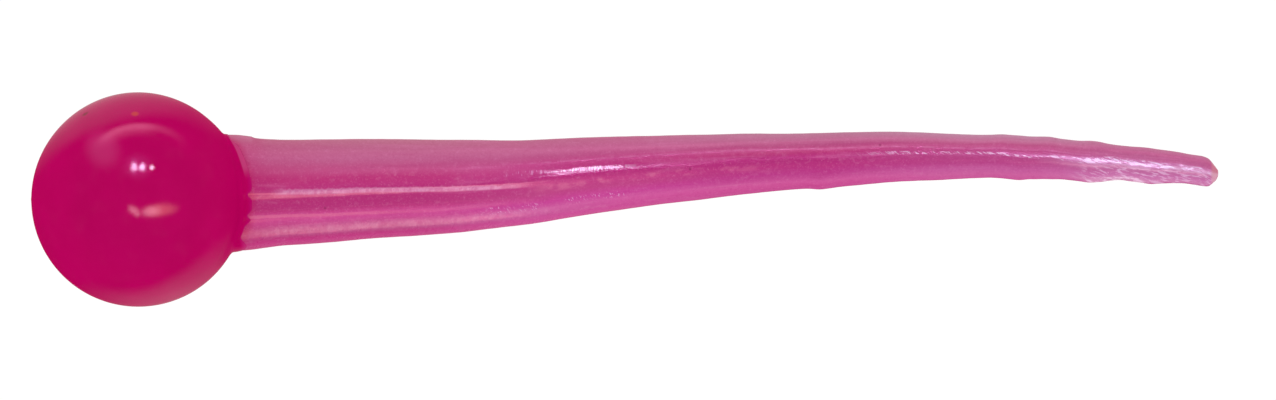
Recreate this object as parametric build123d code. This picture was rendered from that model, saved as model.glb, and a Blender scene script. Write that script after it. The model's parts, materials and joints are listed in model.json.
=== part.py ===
from build123d import *
import math
import os

# Floating ball-head worm bait, lying on a flat surface: a buoyant ball head,
# and a long tapered tail whose root is keyed into it.
# Frame: origin at the centre of the ball, +X along the tail, +Z up. Millimetres.
#
# The tail is one soft moulding, divided here into a root and eight links so
# that rigid bodies can carry its bend. Each division is a ball end in a cup,
# with a V gap as wide as its hinge needs.

# head
HEAD_R = 6.87
REST_Z = -HEAD_R           # the surface that the bait lies on
COLLAR_RISE = 0.15         # low collar round the tail: its height over the ball
COLLAR_WALL = 0.22         # and how far it stands out from the tail
SLEEVE_END_X = 7.8         # the collar is cut from a sleeve that ends past the ball

# tail outline from above: x, +Y edge, -Y edge
OUTLINE = [
    (4.60, 4.05, -3.40), (6.40, 4.08, -3.30), (7.20, 3.98, -3.21),
    (8.30, 3.88, -3.06), (10.4, 3.83, -2.88), (13.0, 3.86, -2.68),
    (16.5, 3.86, -2.39), (20.0, 3.83, -2.16), (23.6, 3.79, -1.75),
    (27.0, 3.90, -1.26), (30.5, 4.03, -0.70), (34.0, 4.10, -0.24),
    (37.5, 4.19, 0.17), (41.0, 4.22, 0.56), (44.5, 4.28, 0.73),
    (48.0, 4.35, 1.09), (51.5, 4.23, 1.24), (55.0, 4.16, 1.36),
    (58.5, 4.00, 1.29), (62.0, 3.59, 1.22), (65.3, 3.21, 1.02),
    (68.2, 2.75, 0.84), (68.8, 2.28, 1.07), (69.13, 1.86, 1.50),
]
TAIL_START_X = OUTLINE[0][0]    # inside the head
TAIL_END_X = OUTLINE[-1][0]

# how the tail lies: x, top z, bottom z. It leaves the head a little below the
# ball's centre, slopes down, and rests on the surface from about x = 28.
LIE = [
    (4.60, 2.60, -3.72), (6.40, 2.10, -4.10), (9.00, 1.49, -4.62),
    (14.0, 0.49, -5.50), (20.0, -0.67, -6.35), (24.0, -1.41, -6.72),
    (28.0, -2.08, REST_Z), (34.0, -2.92, REST_Z), (42.0, -3.78, REST_Z),
    (48.0, -4.24, REST_Z), (54.0, -4.53, REST_Z), (60.0, -4.70, REST_Z),
    (66.0, -4.80, REST_Z), (68.2, -4.90, -6.84), (68.8, -5.10, -6.55),
    (69.13, -5.45, -6.15),
]

# sections of the tail: y as a share of its half width, z of its half thickness.
# The two lists pair up point by point.
# Near the head the top carries three low flutes and a facet.
ROOT_SECTION = [
    (1.00, 0.12), (0.965, 0.34), (0.81, 0.595), (0.63, 0.76), (0.50, 0.838),
    (0.37, 0.893), (0.23, 0.945), (0.11, 0.982), (0.03, 1.00), (-0.04, 0.997),
    (-0.15, 0.965), (-0.28, 0.925), (-0.40, 0.902), (-0.52, 0.878),
    (-0.63, 0.848), (-0.73, 0.833), (-0.83, 0.805), (-0.925, 0.70),
    (-0.99, 0.48), (-1.00, 0.20), (-0.985, -0.15), (-0.93, -0.45),
    (-0.80, -0.70), (-0.60, -0.86), (-0.35, -0.95), (-0.10, -0.985),
    (0.15, -1.00), (0.40, -0.95), (0.63, -0.83), (0.82, -0.62),
    (0.94, -0.36), (0.99, -0.12),
]
# Further out it is a slightly rolled oval with a flattish underside.
TIP_SECTION = [
    (1.00, -0.04), (0.955, 0.19), (0.83, 0.43), (0.66, 0.63), (0.51, 0.752),
    (0.38, 0.840), (0.25, 0.912), (0.14, 0.957), (0.04, 0.986), (-0.08, 1.00),
    (-0.20, 0.990), (-0.33, 0.958), (-0.45, 0.909), (-0.56, 0.845),
    (-0.67, 0.762), (-0.77, 0.663), (-0.86, 0.545), (-0.93, 0.405),
    (-0.98, 0.22), (-1.00, -0.02), (-0.985, -0.27), (-0.935, -0.50),
    (-0.84, -0.76), (-0.68, -0.94), (-0.42, -1.00), (-0.12, -1.00),
    (0.17, -1.00), (0.47, -1.00), (0.71, -0.93), (0.86, -0.71),
    (0.95, -0.41), (0.99, -0.18),
]
FLUTE_FULL_X = 22.0        # the flutes are full up to here
FLUTE_GONE_X = 36.0        # and gone past here

# loft stations
LENGTH_STEPS = 6           # steps along one length of the tail
SLEEVE_STEPS = 4
TIP_STEPS = 4              # steps along the tip, up to its rounded end
TIP_EVEN_END_X = 66.6      # last of the tip's even stations
TIP_ROUND_X = 68           # outline rows past here are stations too

# root plug, keyed into the head
PLUG_NECK_R = 2.55
PLUG_BULB_R = 3.25
PLUG_CENTRE = (0.4, 0.3, -0.5)
PLUG_OVERLAP = 0.3         # how far the neck runs into the tail

# hinges: even places along X. Bend each way in degrees, sideways and up and
# down by turns, starting with sideways.
FIRST_HINGE_X = 13.0
HINGE_PITCH = 7.0
BENDS = [14.0, 12.0, 16.8, 15.0, 19.6, 18.0, 22.4, 21.0]
HINGES = [(FIRST_HINGE_X + HINGE_PITCH * i, bend) for i, bend in enumerate(BENDS)]
BALL_SHARE = 0.78          # ball end radius over the smaller half of the section
BALL_CLEAR = 0.05          # radial clearance of a ball end in its cup
V_SPARE = 1.5              # degrees of spare gap past each hinge's limit
LINK_LEAD = 0.6            # a link's loft starts this far before its hinge
CUP_REACH = 8.0            # cutting space round a link: its radius
CUP_OVERRUN = 1.0          # and how far it runs past the link's end


def smooth_step(t):
    t = max(0.0, min(1.0, t))
    return t * t * (3 - 2 * t)


def values_at(table, x):
    """The table's two values at x, on a cubic curve with smooth slopes."""
    if x <= table[0][0]:
        return table[0][1:]
    if x >= table[-1][0]:
        return table[-1][1:]
    i = max(k for k in range(len(table) - 1) if table[k][0] <= x)
    before = table[max(i - 1, 0)]
    left, right = table[i], table[i + 1]
    after = table[min(i + 2, len(table) - 1)]
    span = right[0] - left[0]
    t = (x - left[0]) / span
    values = []
    for j in (1, 2):
        left_slope = (right[j] - before[j]) / (right[0] - before[0])
        right_slope = (after[j] - left[j]) / (after[0] - left[0])
        values.append(
            (2 * t**3 - 3 * t**2 + 1) * left[j]
            + (t**3 - 2 * t**2 + t) * span * left_slope
            + (-2 * t**3 + 3 * t**2) * right[j]
            + (t**3 - t**2) * span * right_slope
        )
    return values


def tail_halves(x):
    """Half width and half thickness of the tail at x."""
    return [(high - low) / 2 for high, low in (values_at(OUTLINE, x), values_at(LIE, x))]


def tail_centre(x):
    return Pos(x, sum(values_at(OUTLINE, x)) / 2, sum(values_at(LIE, x)) / 2)


def tail_section(x, grow):
    """Closed outline of the tail at x, in the plane across X."""
    centre = tail_centre(x).position
    half_width, half_thick = (half + grow for half in tail_halves(x))
    t = smooth_step((x - FLUTE_FULL_X) / (FLUTE_GONE_X - FLUTE_FULL_X))
    points = [
        Vector(
            x,
            centre.Y + half_width * (y0 + t * (y1 - y0)),
            centre.Z + half_thick * (z0 + t * (z1 - z0)),
        )
        for (y0, z0), (y1, z1) in zip(ROOT_SECTION, TIP_SECTION)
    ]
    return Wire([Edge.make_spline(points, periodic=True)])


def tail_loft(stations, grow=0.0):
    return Solid.make_loft([tail_section(x, grow) for x in stations])


def even_stations(start, end, steps):
    return [start + (end - start) * i / steps for i in range(steps + 1)]


def tail_length(start, end):
    """One length of the tail. The outline's last rows shape the tip."""
    if end < TAIL_END_X:
        return tail_loft(even_stations(start, end, LENGTH_STEPS))
    rounded_end = [x for x, _, _ in OUTLINE if x > TIP_ROUND_X]
    return tail_loft(even_stations(start, TIP_EVEN_END_X, TIP_STEPS) + rounded_end)


def x_sphere(radius):
    """A sphere with its poles along X."""
    return Rot(0, 90, 0) * Sphere(radius)


def ball_radius(x):
    return BALL_SHARE * min(tail_halves(x))


def ball_end(x):
    return tail_centre(x) * x_sphere(ball_radius(x))


def plug():
    """Bulb and neck that key the root into the head, turned about X."""
    neck_angle = math.asin(PLUG_NECK_R / PLUG_BULB_R)
    start = (-PLUG_BULB_R, 0, 0)
    waist = (PLUG_BULB_R * math.cos(neck_angle), PLUG_NECK_R, 0)
    neck_end = TAIL_START_X + PLUG_OVERLAP - PLUG_CENTRE[0]
    profile = make_face([
        ThreePointArc(start, (0, PLUG_BULB_R, 0), waist),
        Line(waist, (neck_end, PLUG_NECK_R, 0)),
        Line((neck_end, PLUG_NECK_R, 0), (neck_end, 0, 0)),
        Line((neck_end, 0, 0), start),
    ])
    return Pos(*PLUG_CENTRE) * revolve(profile, Axis.X)


def link_space(x, end, degrees):
    """The space of one link: from a cup round the hinge centre at x, opening
    outwards as a cone, to a flat end."""
    lean = math.radians(degrees)
    cup_r = ball_radius(x) + BALL_CLEAR
    mid_angle = (math.pi / 2 - lean) / 2
    length = end - x
    on_axis = (cup_r, 0, 0)
    arc_mid = (cup_r * math.cos(mid_angle), cup_r * math.sin(mid_angle), 0)
    rim = (cup_r * math.sin(lean), cup_r * math.cos(lean), 0)
    cone_edge = (CUP_REACH * math.tan(lean), CUP_REACH, 0)
    profile = make_face([
        ThreePointArc(on_axis, arc_mid, rim),
        Line(rim, cone_edge),
        Line(cone_edge, (length, CUP_REACH, 0)),
        Line((length, CUP_REACH, 0), (length, 0, 0)),
        Line((length, 0, 0), on_axis),
    ])
    return tail_centre(x) * revolve(profile, Axis.X)


def root_stub():
    """The root without its ball end: the first length of the tail, and the plug."""
    return tail_length(TAIL_START_X, FIRST_HINGE_X) + plug()


def ball_head(stub):
    """The ball, with a low collar hugging the tail, less the keyed root."""
    sleeve = tail_loft(even_stations(TAIL_START_X, SLEEVE_END_X, SLEEVE_STEPS), COLLAR_WALL)
    collar = sleeve & x_sphere(HEAD_R + COLLAR_RISE)
    return (x_sphere(HEAD_R) + collar) - stub


def tail_link(x, bend, end):
    """A link from its cup at x to a ball end, or to the tip."""
    space = link_space(x, end + CUP_OVERRUN, bend + V_SPARE)
    link = tail_length(x - LINK_LEAD, end) & space
    if end < TAIL_END_X:
        link = link + ball_end(end)
    return link


def save(name, shape):
    solids = shape.solids()
    shape = solids[0] if len(solids) == 1 else Compound(children=list(solids))
    shape.label = name
    export_step(shape, f"parts/{name}.step")


os.makedirs("parts", exist_ok=True)
stub = root_stub()
save("ball_head", ball_head(stub))
save("tail_root", stub + ball_end(FIRST_HINGE_X))

link_names = [f"tail_link_{k}" for k in range(1, len(HINGES))] + ["tail_tip"]
link_ends = [x for x, _ in HINGES[1:]] + [TAIL_END_X]
for name, (x, bend), end in zip(link_names, HINGES, link_ends):
    save(name, tail_link(x, bend, end))
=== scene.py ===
import json
import math

import bpy
import numpy as np
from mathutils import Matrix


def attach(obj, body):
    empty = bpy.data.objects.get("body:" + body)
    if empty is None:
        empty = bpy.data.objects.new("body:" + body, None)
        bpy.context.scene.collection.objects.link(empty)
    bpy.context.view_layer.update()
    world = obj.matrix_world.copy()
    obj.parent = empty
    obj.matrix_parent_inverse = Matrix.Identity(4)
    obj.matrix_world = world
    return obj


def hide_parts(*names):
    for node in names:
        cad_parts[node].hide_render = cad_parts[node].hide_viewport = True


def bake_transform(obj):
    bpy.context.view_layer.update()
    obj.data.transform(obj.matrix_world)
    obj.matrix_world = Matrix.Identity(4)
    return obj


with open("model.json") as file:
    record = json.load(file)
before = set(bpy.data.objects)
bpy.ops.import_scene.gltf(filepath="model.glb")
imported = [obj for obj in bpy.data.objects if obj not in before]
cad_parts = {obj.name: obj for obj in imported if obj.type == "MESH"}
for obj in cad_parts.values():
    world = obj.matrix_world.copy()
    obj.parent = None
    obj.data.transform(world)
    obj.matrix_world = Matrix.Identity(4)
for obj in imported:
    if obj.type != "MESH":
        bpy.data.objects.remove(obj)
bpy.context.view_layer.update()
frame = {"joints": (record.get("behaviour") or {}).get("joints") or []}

MM = 0.001
HEAD_R = 6.87
HINGE_X = sorted(1000 * joint["pos_m"][0] for joint in frame["joints"])
BODIES = ["head"] + [f"tail_link_{k}" for k in range(1, 8)] + ["tail_tip"]
PIECES = len(BODIES) - 1     # tail pieces, one per hinge
BEND_HALF = 0.0034           # metres each side of a hinge
START_X, END_X = 4.95, 69.11  # the tail's skin, from inside the ball to the tip
RING_STEP = 0.12             # along x, between rings of the tail
SOCKET_STEP = 0.02           # along x, between rows of the grid the socket follows
AROUND = 256                 # points round each ring
COLUMNS = np.arange(AROUND)

# ---------------------------------------------------------------------------
# The tail's form
# ---------------------------------------------------------------------------

# x, +Y edge, -Y edge, as seen from above
OUTLINE = np.array([
    (4.60, 4.05, -3.40), (5.75, 4.07, -3.36), (6.52, 4.05, -3.28), (7.35, 3.96, -3.20),
    (7.93, 3.903, -3.123), (8.76, 3.852, -3.012), (9.40, 3.830, -2.937),
    (10.36, 3.825, -2.879), (11.64, 3.846, -2.790), (12.92, 3.858, -2.683),
    (14.20, 3.885, -2.562), (15.48, 3.880, -2.465), (16.76, 3.858, -2.377),
    (18.04, 3.850, -2.296), (19.32, 3.836, -2.212), (20.60, 3.822, -2.103),
    (21.88, 3.808, -1.950), (23.16, 3.790, -1.805), (24.44, 3.795, -1.655),
    (25.72, 3.847, -1.475), (27.00, 3.900, -1.262), (28.28, 3.960, -1.052),
    (29.56, 4.002, -0.850), (30.84, 4.036, -0.662), (32.12, 4.070, -0.490),
    (33.40, 4.094, -0.322), (34.68, 4.120, -0.158), (35.96, 4.152, -0.007),
    (37.24, 4.184, 0.140), (38.52, 4.208, 0.296), (39.80, 4.214, 0.438),
    (41.08, 4.218, 0.566), (42.36, 4.236, 0.668), (43.00, 4.252, 0.680),
    (43.64, 4.262, 0.640), (44.28, 4.279, 0.708), (44.92, 4.290, 0.802),
    (46.20, 4.315, 0.938), (47.48, 4.345, 1.056), (48.12, 4.352, 1.098),
    (48.76, 4.338, 1.140), (50.04, 4.296, 1.200), (51.32, 4.238, 1.248),
    (52.60, 4.184, 1.322), (53.88, 4.150, 1.380), (54.52, 4.152, 1.398),
    (55.16, 4.172, 1.362), (55.80, 4.136, 1.290), (56.44, 4.086, 1.245),
    (57.08, 4.040, 1.290), (58.36, 4.018, 1.298), (59.00, 3.912, 1.290),
    (59.64, 3.828, 1.242), (60.28, 3.768, 1.165), (60.92, 3.760, 1.078),
    (61.56, 3.684, 1.120), (62.20, 3.562, 1.200), (62.84, 3.460, 1.252),
    (63.48, 3.394, 1.168), (64.12, 3.356, 1.098), (64.76, 3.306, 0.990),
    (65.40, 3.198, 1.025), (66.04, 3.118, 1.044), (66.68, 3.028, 1.030),
    (67.32, 2.898, 0.970), (67.96, 2.818, 0.878), (68.22, 2.750, 0.838),
    (68.45, 2.645, 0.839), (68.60, 2.528, 0.905), (68.86, 2.199, 1.127),
    (69.00, 2.020, 1.262), (69.11, 1.869, 1.500),
])

# x, top line, bottom line, from the side
LIE = np.array([
    (4.60, 2.60, -3.72), (6.40, 2.10, -4.10), (9.00, 1.49, -4.62), (14.0, 0.49, -5.50),
    (20.0, -0.67, -6.35), (24.0, -1.41, -6.72), (28.0, -2.08, -6.865), (34.0, -2.92, -6.865),
    (42.0, -3.78, -6.865), (48.0, -4.24, -6.865), (54.0, -4.53, -6.865), (60.0, -4.70, -6.865),
    (66.0, -4.80, -6.865), (68.2, -4.92, -6.82), (68.6, -5.06, -6.66), (68.86, -5.25, -6.42),
    (69.00, -5.38, -6.26), (69.11, -5.50, -6.10),
])

# sections as (across, up), from the +Y edge over the top
ROOT_SECTION = np.array([
    (1.00, 0.12), (0.965, 0.34), (0.81, 0.595), (0.63, 0.76), (0.50, 0.838),
    (0.37, 0.893), (0.23, 0.943), (0.12, 0.974), (0.03, 1.00), (-0.05, 0.9945),
    (-0.13, 0.982), (-0.22, 0.955), (-0.33, 0.922), (-0.43, 0.902),
    (-0.54, 0.883), (-0.65, 0.856), (-0.75, 0.841), (-0.86, 0.805),
    (-0.97, 0.60), (-1.00, 0.22), (-0.985, -0.15), (-0.93, -0.45),
    (-0.80, -0.70), (-0.60, -0.86), (-0.35, -0.95), (-0.10, -0.985),
    (0.15, -1.00), (0.40, -0.95), (0.63, -0.83), (0.82, -0.62),
    (0.94, -0.36), (0.99, -0.12),
])
TIP_SECTION = np.array([
    (1.00, -0.04), (0.955, 0.19), (0.83, 0.43), (0.66, 0.63), (0.51, 0.752),
    (0.38, 0.840), (0.25, 0.912), (0.14, 0.957), (0.04, 0.986), (-0.08, 1.00),
    (-0.20, 0.990), (-0.33, 0.958), (-0.45, 0.909), (-0.56, 0.845),
    (-0.67, 0.762), (-0.77, 0.663), (-0.86, 0.545), (-0.93, 0.405),
    (-0.98, 0.22), (-1.00, -0.02), (-0.985, -0.27), (-0.935, -0.50),
    (-0.84, -0.76), (-0.68, -0.94), (-0.42, -1.00), (-0.12, -1.00),
    (0.17, -1.00), (0.47, -1.00), (0.71, -0.93), (0.86, -0.71),
    (0.95, -0.41), (0.99, -0.18),
])

# how far the head's material creeps along the tail past the ball:
# (across, creep) over the top, then (section point number, creep) underneath
CREEP_TOP = np.array([
    (-1.00, 0.52), (-0.99, 0.66), (-0.93, 0.70), (-0.88, 0.55), (-0.82, 0.26),
    (-0.76, 0.13), (-0.62, 0.15), (-0.56, 0.20), (-0.51, 0.38), (-0.478, 0.48),
    (-0.445, 0.38), (-0.41, 0.20), (-0.38, 0.20), (-0.34, 0.33), (-0.28, 0.42),
    (-0.14, 0.42), (-0.09, 0.36), (-0.05, 0.19), (-0.02, 0.13), (0.00, 0.18),
    (0.04, 0.36), (0.10, 0.44), (0.20, 0.46), (0.45, 0.44), (0.80, 0.42),
    (0.86, 0.32), (0.93, 0.12), (1.00, 0.06),
])
CREEP_UNDER = np.array([
    (19, 0.52), (20, 0.40), (21, 0.26), (22, 0.18), (23, 0.14), (25, 0.15),
    (27, 0.12), (29, 0.13), (31, 0.08), (32, 0.06),
])

# x, across: where the upper facet ends in a fine raised line
RIDGE = np.array([
    (5, 0.52), (10.4, 0.517), (25.7, 0.434), (31.6, 0.44), (39.0, 0.475),
    (45.6, 0.43), (57.8, 0.36), (63.5, 0.28), (69.2, 0.22),
])
# x, roll of the top towards +Y
ROLL = np.array([(50, 0), (54, 0.01), (58, 0.03), (62, 0.05), (66, 0.08), (69.2, 0.08)])
# x, across: middle of the long highlight
HIGHLIGHT = np.array([
    (25, 0.180), (28.6, 0.178), (30.7, 0.174), (33, 0.178), (46, 0.17),
    (53, 0.155), (61.6, 0.115), (66, 0.035), (69.2, 0.02),
])
# x, half width of the highlight's first strip, as a share
HIGHLIGHT_HALF = np.array([
    (25.6, 0.026), (27.0, 0.044), (28.2, 0.060), (30.2, 0.054), (31.2, 0.030), (33.0, 0.012),
])


def smooth(t):
    t = np.clip(t, 0, 1)
    return t * t * (3 - 2 * t)


def lookup(table, at):
    """Straight-line reading of a two-column table."""
    return np.interp(at, table[:, 0], table[:, 1])


def curve(table, x):
    """The table's two columns at x, on a cubic with smooth slopes through its rows."""
    rows, values = table[:, 0], table[:, 1:]
    x = np.clip(x, rows[0], rows[-1])
    i = np.clip(np.searchsorted(rows, x, side="right") - 1, 0, len(rows) - 2)
    before, after = np.maximum(i - 1, 0), np.minimum(i + 2, len(rows) - 1)
    gap = (rows[i + 1] - rows[i])[:, None]
    t = (x - rows[i])[:, None] / gap
    start, end = values[i], values[i + 1]
    start_slope = (end - values[before]) / (rows[i + 1] - rows[before])[:, None]
    end_slope = (values[after] - start) / (rows[after] - rows[i])[:, None]
    return (
        (2 * t**3 - 3 * t**2 + 1) * start
        + (t**3 - 2 * t**2 + t) * gap * start_slope
        + (-2 * t**3 + 3 * t**2) * end
        + (t**3 - t**2) * gap * end_slope
    )


def periodic_basis(count, samples):
    """Weights that put a closed cubic spline through count points, at samples points."""
    system = np.zeros((count, count))
    for i in range(count):
        system[i, i] = 4 / 6
        system[i, (i + 1) % count] = system[i, (i - 1) % count] = 1 / 6
    basis = np.zeros((samples, count))
    for sample in range(samples):
        place = sample * count / samples
        i, t = int(place), place - int(place)
        weights = (
            (1 - t) ** 3 / 6,
            (3 * t**3 - 6 * t**2 + 4) / 6,
            (-3 * t**3 + 3 * t**2 + 3 * t + 1) / 6,
            t**3 / 6,
        )
        for k, weight in zip((-1, 0, 1, 2), weights):
            basis[sample, (i + k) % count] += weight
    return basis @ np.linalg.inv(system)


BASIS = periodic_basis(len(ROOT_SECTION), AROUND)
ROOT_RING, TIP_RING = BASIS @ ROOT_SECTION, BASIS @ TIP_SECTION


def waves(x, turn, scale, seed):
    """A smooth, repeatable unevenness over the tail, about -1 to 1."""
    count = 7
    rng = np.random.default_rng(seed)
    total = np.zeros(np.broadcast(x, turn).shape)
    for _ in range(count):
        frequency = rng.uniform(0.6, 1.7) / scale
        around = rng.integers(-4, 5)
        angle = 2 * np.pi * (frequency * x + around * turn) + rng.uniform(0, 6.28)
        total += np.sin(angle) / count**0.5
    return total / 1.4


def relief(x, across, up, past_ridge, half_width):
    """Small heights added to the tail's plain form."""
    upper = smooth((up - 0.1) / 0.3)
    # the fine raised line
    lift = (0.012 * np.exp(-((past_ridge / 0.085) ** 2)) * upper
            * smooth((x - 22) / 8) * (1 - smooth((x - 60) / 5)))
    # the last length of the tail is rolled a little towards +Y
    lift -= lookup(ROLL, x) * half_width * across * (1 - across**2) ** 2 * upper
    # a shallow step on the line's -Y side, where the two mould faces meet
    lift -= (0.018 * smooth(-past_ridge / 0.12) * smooth((past_ridge + 0.7) / 0.5)
             * upper * smooth((x - 24) / 6))
    # the thin lip beside the head on the +Y edge, ending in a small step
    lift += (0.075 * smooth((across - 0.72) / 0.12) * smooth((up + 0.6) / 0.2)
             * smooth((0.62 - up) / 0.2) * (1 - smooth((x - 7.28) / 0.14)))
    # unevenness, lumpier and hand-trimmed towards the tip, gone at its very end
    turn = COLUMNS[None, :] / AROUND
    fade = smooth((69.0 - x) / 1.5)
    lift += 0.010 * waves(x, turn, 6.0, 3) * fade
    lift += 0.006 * waves(x, turn, 1.7, 5) * fade * (0.5 + 0.5 * smooth((x - 50) / 8))
    lift += 0.014 * waves(x, turn, 2.6, 11) * fade * smooth((x - 57) / 5)
    return lift


def ring_change(values):
    """Difference between each point's two neighbours round the ring."""
    return np.roll(values, -1, 1) - np.roll(values, 1, 1)


def surface_normals(points, outward):
    normal = np.cross(ring_change(points), np.gradient(points, axis=0))
    normal /= np.linalg.norm(normal, axis=2, keepdims=True) + 1e-12
    sign = np.sign((normal * outward).sum(2, keepdims=True))
    return normal * np.where(sign == 0, 1, sign)


def aim(normal, weight, nx=None, ny=None):
    """Turn normals in place towards the given x and y parts (None keeps that part)."""
    old_x, old_y = normal[..., 0], normal[..., 1]
    nx = old_x * (1 - weight) + weight * (old_x if nx is None else nx)
    ny = old_y * (1 - weight) + weight * (old_y if ny is None else ny)
    nz = np.sqrt(np.maximum(1 - nx**2 - ny**2, 0.0)) * np.where(normal[..., 2] < 0, -1, 1)
    used = weight > 0
    normal[used] = np.stack([nx, ny, nz], 2)[used]


def aim_highlight(normal, x, across, up):
    """Turn shading normals along three narrow strips, up to about ten degrees,
    with no geometry behind them, for the long highlight of the lamps."""
    top = smooth((up - 0.45) / 0.2)
    middle = lookup(HIGHLIGHT, x)
    distance = abs(across - middle)
    length = smooth((x - 25.6) / 2.2) * (1 - smooth((x - 30.4) / 2.0))
    strip = 1 - smooth((distance / lookup(HIGHLIGHT_HALF, x) - 0.85) / 0.45)
    aim(normal, 0.98 * length * top * strip, nx=0.132, ny=0.304)
    length = smooth((x - 31.6) / 2) * (1 - smooth((x - 58) / 3))
    aim(normal, 0.9 * length * top * (1 - smooth((distance - 0.10) / 0.14)), nx=0.086)
    length = smooth((x - 57) / 4)
    aim(normal, 0.85 * length * top * (1 - smooth((distance - 0.13) / 0.13)),
        ny=0.306 + 0.30 * (across - middle))


def tail_grid(stations):
    """Points of the tail's surface at each x and each place round the section,
    their (across, up, distance past the ridge), and the outward normals."""
    stations = np.asarray(stations, float)
    edges, lines = curve(OUTLINE, stations), curve(LIE, stations)
    x = stations[:, None]
    middle_y, half_width = edges.mean(1)[:, None], ((edges[:, 0] - edges[:, 1]) / 2)[:, None]
    middle_z, half_thick = lines.mean(1)[:, None], ((lines[:, 0] - lines[:, 1]) / 2)[:, None]
    to_tip = smooth((stations - 22.0) / 14.0)[:, None, None]
    section = ROOT_RING[None] * (1 - to_tip) + TIP_RING[None] * to_tip
    across, up = section[..., 0], section[..., 1]
    y, z = across * half_width, up * half_thick
    dy, dz = ring_change(y), ring_change(z)
    length = np.sqrt(dy**2 + dz**2) + 1e-9
    out_y, out_z = dz / length, -dy / length
    past_ridge = (across - lookup(RIDGE, x)) * half_width
    lift = relief(x, across, up, past_ridge, half_width)
    points = np.empty(across.shape + (3,))
    points[..., 0] = x
    points[..., 1] = middle_y + y + out_y * lift
    points[..., 2] = np.maximum(middle_z + z + out_z * lift, -HEAD_R)
    normal = surface_normals(points, np.stack([np.zeros_like(out_y), out_y, out_z], 2))
    aim_highlight(normal, x, across, up)
    return points, np.stack([across, up, past_ridge], 2), normal


def on_top(x, y):
    """The point of the tail's upper surface above (x, y)."""
    points, shares, _ = tail_grid([x - 0.1, x, x + 0.1])
    ring = points[1][shares[1, :, 1] > 0.1]
    ring = ring[np.argsort(ring[:, 1])]
    return (x, y, float(np.interp(y, ring[:, 1], ring[:, 2])))


# ---------------------------------------------------------------------------
# Meshes
# ---------------------------------------------------------------------------

def set_normals(mesh, normals):
    """Give the mesh per-point normals, but keep its triangles (end caps) flat."""
    index = np.empty(len(mesh.loops), np.int32)
    mesh.loops.foreach_get("vertex_index", index)
    corners = np.array([face.loop_total for face in mesh.polygons])
    face_of = np.repeat(np.arange(len(corners)), corners)
    flat = np.array([face.normal for face in mesh.polygons], np.float32)[face_of]
    is_cap = corners[face_of] == 3
    wanted = np.where(is_cap[:, None], flat, normals[index])
    mesh.normals_split_custom_set(wanted.astype(float).tolist())


def add_object(name, mesh):
    obj = bpy.data.objects.new(name, mesh)
    bpy.context.scene.collection.objects.link(obj)
    return obj


def mesh_object(name, points, faces, attributes, normals=None):
    """A smooth object from points in millimetres, with per-point vector attributes."""
    mesh = bpy.data.meshes.new(name)
    mesh.from_pydata((points * MM).tolist(), [], faces)
    for key, values in attributes.items():
        layer = mesh.attributes.new(key, "FLOAT_VECTOR", "POINT")
        layer.data.foreach_set("vector", np.asarray(values, np.float32).ravel())
    mesh.polygons.foreach_set("use_smooth", [True] * len(mesh.polygons))
    mesh.update()
    if normals is not None:
        set_normals(mesh, normals)
    return add_object(name, mesh)


def tube_faces(rings):
    faces = []
    for i in range(rings - 1):
        this, following = i * AROUND, (i + 1) * AROUND
        for j in range(AROUND):
            k = (j + 1) % AROUND
            faces.append((this + j, following + j, following + k, this + k))
    return faces


def stations_between(start, end):
    """x of each ring of a piece: evenly spaced, closer at the tip."""
    if end == END_X:
        fine_from = 67.6
        even = np.linspace(start, fine_from, int((fine_from - start) / RING_STEP))
        return list(even) + list(np.linspace(67.66, end, 30))
    return list(np.linspace(start, end, max(2, int(round((end - start) / RING_STEP)) + 1)))


def tail_stations():
    """x of every ring, and each piece's (first, last + 1) ring. Neighbouring
    pieces share the ring midway between their hinges."""
    cuts = [START_X] + [(HINGE_X[k] + HINGE_X[k + 1]) / 2 for k in range(PIECES - 1)] + [END_X]
    stations, spans = [], []
    for k in range(PIECES):
        first = max(len(stations) - 1, 0)
        stations += stations_between(cuts[k], cuts[k + 1])[1 if k else 0:]
        spans.append((first, len(stations)))
    return stations, spans


def build_tail_piece(k, points, shares, normals):
    rings = len(points)
    points, shares, normals = (values.reshape(-1, 3) for values in (points, shares, normals))
    faces = tube_faces(rings)
    # Both ends are closed by fans of triangles to a centre point. They lie
    # inside the tail, except at the tip.
    for is_end in (False, True):
        is_tip = k == PIECES - 1 and is_end
        ring = COLUMNS + (rings - 1 if is_end else 0) * AROUND
        centre = points[ring].mean(0)
        if is_tip:
            centre[0] += 0.02
        else:
            centre[0] += -0.25 if is_end else 0.25
        points = np.vstack([points, centre])
        shares = np.vstack([shares, [0.0, 0.3 if is_tip else 0.0, 2.0]])
        normals = np.vstack([normals, [1.0 if is_end else -1.0, 0, 0]])
        apex = len(points) - 1
        for this, following in zip(ring, np.roll(ring, -1)):
            faces.append((following, this, apex) if is_end else (this, following, apex))
    faces = [face[::-1] for face in faces]
    obj = mesh_object(f"tail_skin_{k + 1}", points, faces, {"sec": shares, "rest": points}, normals)
    obj.visible_glossy = False
    return obj


def first_cross(values):
    """For each column, the fractional row where values first pass zero."""
    i = np.clip((values > 0).argmax(0), 1, len(values) - 1)
    before, after = values[i - 1, COLUMNS], values[i, COLUMNS]
    return i - 1 + np.clip(before / (before - after + 1e-12), 0, 1)


def at_row(array, row):
    row = np.clip(row, 0, len(array) - 1.001)
    i = row.astype(int)
    part = (row - i)[:, None]
    return array[i, COLUMNS] * (1 - part) + array[i + 1, COLUMNS] * part


def unit(vectors):
    return vectors / np.linalg.norm(vectors, axis=1, keepdims=True)


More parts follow.
